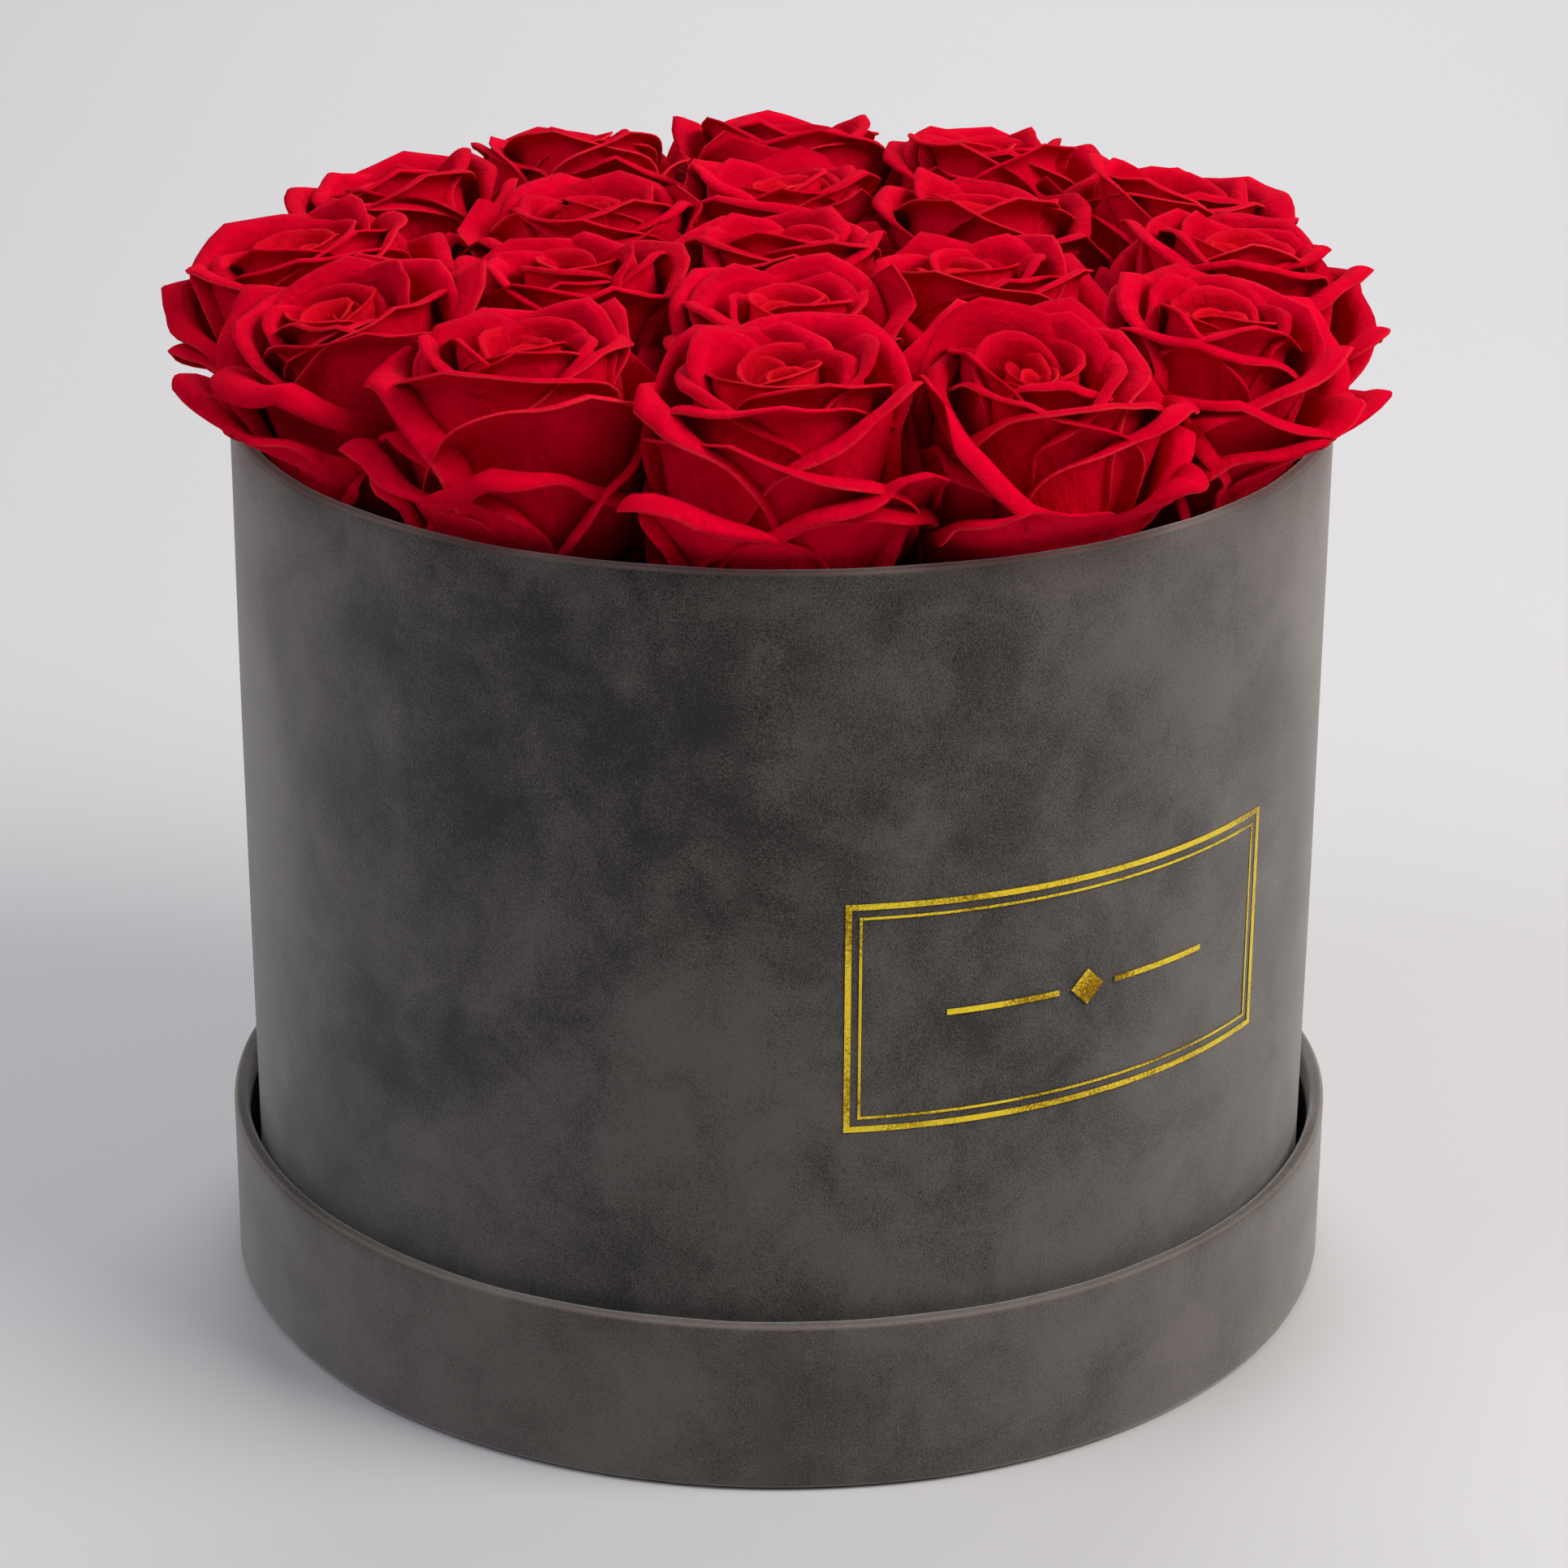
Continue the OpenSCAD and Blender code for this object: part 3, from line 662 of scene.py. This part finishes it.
def add_bloom(number, seed):
    """One bloom on its stem: its petals in a spiral, pressed against the blooms and the wall round it."""
    draw = random.Random(seed)
    foot, run = stems[number]
    outward = np.array([foot[0], foot[1], 0.0])
    middle = 5
    in_middle = np.linalg.norm(outward) < middle
    outward = np.array([1.0, 0, 0]) if in_middle else outward / np.linalg.norm(outward)
    outward = outward - run * (outward @ run)
    outward /= np.linalg.norm(outward)
    across = np.cross(run, outward)
    nod_x = Matrix.Rotation(math.radians(leaning.uniform(-NOD, NOD)), 3, "X")
    nod_y = Matrix.Rotation(math.radians(leaning.uniform(-NOD, NOD)), 3, "Y")
    place = np.stack([outward, across, run], 1) @ np.array(nod_x @ nod_y)
    points, faces, near_edge, fibres, tones, hearts = [], [], [], [], [], []
    count = 0
    for petal in bloom_petals(draw, number >= FIRST_AT_RIM):
        sheet, nearness, fibre = petal_sheet(draw, petal)
        rows, columns = sheet.shape[:2]
        index = np.arange(rows * columns).reshape(rows, columns) + count
        corners = [index[:-1, :-1], index[:-1, 1:], index[1:, 1:], index[1:, :-1]]
        faces.append(np.stack(corners, -1).reshape(-1, 4))
        points.append(sheet.reshape(-1, 3))
        near_edge.append(nearness.ravel())
        fibres.append(fibre.reshape(-1, 3))
        tones.append(np.full(rows * columns, petal["tone"]))
        hearts.append(np.full(rows * columns, petal["heart"]))
        count += rows * columns
    points = (np.concatenate(points) + (0, 0, NECK)) @ place.T + foot

    # Neighbouring blooms meet about halfway between their stems, in a plane that neither passes
    next_door = 62
    height = points[:, 2:3]
    own = foot + run * (height - foot[2]) / run[2]
    for other, (far_foot, far_run) in enumerate(stems):
        if other != number and np.linalg.norm(far_foot - foot) < next_door:
            apart = far_foot + far_run * (height - far_foot[2]) / far_run[2] - own
            distance = np.linalg.norm(apart, axis=1)
            way = apart / distance[:, None]
            beyond = np.sum((points - own) * way, axis=1) - distance / 2 - share[number][other]
            points = points + (press(beyond, room=2.2, keep=0.15) - beyond)[:, None] * way

    # Inside the box the wall holds the petals; above the rim they spread out up to 16 mm past it,
    # all of it by 13 mm up. None of them lies lower than just above the foam.
    gap, spread, spread_by, lift = 0.5, 16.5, 13, 0.3
    radius = np.hypot(points[:, 0], points[:, 1])
    limit = wall_inside - gap + spread * ease(rim_top + gap, rim_top + spread_by, points[:, 2])
    squeezed = limit + press(radius - limit, room=2.5, keep=0.1)
    points[:, :2] *= (squeezed / np.maximum(radius, 1e-6))[:, None]
    points[:, 2] = np.maximum(points[:, 2], foam_top + lift)

    name = stem_names[number].replace("stem", "rose") + "_petals"
    mesh = bpy.data.meshes.new(name)
    mesh.from_pydata((points * MM).tolist(), [], np.concatenate(faces).tolist())
    mesh.polygons.foreach_set("use_smooth", [True] * len(mesh.polygons))
    for key, values in (("near_edge", near_edge), ("tone", tones), ("heart", hearts)):
        layer = mesh.attributes.new(key, "FLOAT", "POINT")
        layer.data.foreach_set("value", np.concatenate(values).astype(np.float32))
    layer = mesh.attributes.new("fibre", "FLOAT_VECTOR", "POINT")
    layer.data.foreach_set("vector", np.concatenate(fibres).astype(np.float32).ravel())
    mesh.update()
    made = bpy.data.objects.new(name, mesh)
    bpy.context.scene.collection.objects.link(made)
    thick = made.modifiers.new("petal_thickness", "SOLIDIFY")
    thick.thickness = PETAL * MM
    thick.offset = 0
    return made


# Preserved rose petal: a velvet skin over fine veins that run from claw to edge 0.6 mm apart, drawn
# in from soft pleats 3 mm wide. It is matt, glows a little at glancing angles, is blotched over 6 mm,
# has a painted highlight in patches along its cut edge, and is a warmer red in the heart. The nap is finer
# than
# 0.1 mm and drawn at 0.4 mm. The fibre attribute is in mm: across the petal, along it, and its own.
velvet, velvet_tree, velvet_shader = new_material("preserved_rose_petal")
velvet_fibre = add_node(velvet_tree, "Attribute", attribute_name="fibre").outputs["Vector"]
velvet_near = add_node(velvet_tree, "Attribute", attribute_name="near_edge")
velvet_each = add_node(velvet_tree, "Attribute", attribute_name="tone")
velvet_heart = add_node(velvet_tree, "Attribute", attribute_name="heart")
velvet_run = add_node(velvet_tree, "Mapping", {"Vector": velvet_fibre, "Scale": (1 / 0.6, 1 / 5, 1.0)})
velvet_veins = add_node(velvet_tree, "TexNoise", {
    "Vector": velvet_run.outputs[0], "Scale": 1.0, "Detail": 3.0, "Roughness": 0.6})
velvet_gather = add_node(velvet_tree, "Mapping", {"Vector": velvet_fibre, "Scale": (1 / 3, 1 / 22, 1.0)})
velvet_pleats = add_node(velvet_tree, "TexNoise", {
    "Vector": velvet_gather.outputs[0], "Scale": 1.0, "Detail": 2.0})
velvet_nap = add_node(velvet_tree, "TexNoise", {
    "Vector": velvet_fibre, "Scale": 1 / 0.4, "Detail": 2.0, "Roughness": 0.7})
velvet_blot = add_node(velvet_tree, "TexNoise", {"Vector": velvet_fibre, "Scale": 1 / 6, "Detail": 3.0})

# Colour: blots, veins, nap and the petal's own tone together choose between the two reds
velvet_blotted = add_node(velvet_tree, "Math", {
    0: velvet_blot.outputs["Fac"], 1: 0.5}, operation="MULTIPLY")
velvet_veined = add_node(velvet_tree, "Math", {
    0: velvet_veins.outputs["Fac"], 1: 0.6, 2: velvet_blotted.outputs[0]}, operation="MULTIPLY_ADD")
velvet_napped = add_node(velvet_tree, "Math", {
    0: velvet_nap.outputs["Fac"], 1: 0.5, 2: velvet_veined.outputs[0]}, operation="MULTIPLY_ADD")
velvet_toned = add_node(velvet_tree, "Math", {
    0: velvet_each.outputs["Fac"], 1: 0.2, 2: velvet_napped.outputs[0]}, operation="MULTIPLY_ADD")
velvet_share = add_node(velvet_tree, "MapRange", {
    "Value": velvet_toned.outputs[0], "From Min": 0.65, "From Max": 1.15})
velvet_tone = add_node(velvet_tree, "Mix", {
    0: velvet_share.outputs[0], 6: to_linear("#b2001c"), 7: to_linear("#de002b")}, data_type="RGBA")
velvet_warm_part = add_node(velvet_tree, "Math", {
    0: velvet_heart.outputs["Fac"], 1: 0.7}, operation="MULTIPLY")
velvet_warm = add_node(velvet_tree, "Mix", {
    0: velvet_warm_part.outputs[0], 6: velvet_tone.outputs[2], 7: to_linear("#e81822")}, data_type="RGBA")
# Painted highlight: the last rows of the rolled edge turn a paler red in patches
velvet_highlight_band = add_node(velvet_tree, "MapRange", {
    "Value": velvet_near.outputs["Fac"], "From Min": 0.975, "From Max": 1.0})
velvet_highlight_patches = add_node(velvet_tree, "MapRange", {
    "Value": velvet_blot.outputs["Fac"], "From Min": 0.4, "From Max": 0.65, "To Max": 0.35})
velvet_highlight_part = add_node(velvet_tree, "Math", {
    0: velvet_highlight_band.outputs[0], 1: velvet_highlight_patches.outputs[0]}, operation="MULTIPLY")
velvet_with_edge_highlight = add_node(velvet_tree, "Mix", {
    0: velvet_highlight_part.outputs[0], 6: velvet_warm.outputs[2], 7: to_linear("#ee4044")}, data_type="RGBA")

# Relief: pleats, then veins, then a trace of nap
velvet_relief = add_node(velvet_tree, "Math", {
    0: velvet_veins.outputs["Fac"], 1: 0.7, 2: velvet_pleats.outputs["Fac"]}, operation="MULTIPLY_ADD")
velvet_raised = add_node(velvet_tree, "Math", {
    0: velvet_nap.outputs["Fac"], 1: 0.15, 2: velvet_relief.outputs[0]}, operation="MULTIPLY_ADD")
velvet_bump = add_node(velvet_tree, "Bump", {
    "Strength": 0.7, "Distance": 0.0012, "Height": velvet_raised.outputs[0]})
set_sockets(velvet_tree, velvet_shader, {
    "Base Color": velvet_with_edge_highlight.outputs[2],
    "Normal": velvet_bump.outputs[0],
    "Roughness": 0.8,
    "Specular IOR Level": 0.01,
    "Sheen Weight": 0.25,
    "Sheen Roughness": 0.35,
    "Sheen Tint": to_linear("#e8142c")})

# Three blooms at the front and one at the back are taken from a second series of draws
first_series = 800
second_series = 500
from_second = (7, 8, 12, 18)
for number in range(len(stems)):
    bloom = add_bloom(number, (second_series if number in from_second else first_series) + number)
    bloom.data.materials.append(velvet)
    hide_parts(stem_names[number].replace("stem", "rose"))
    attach(bloom, "box")
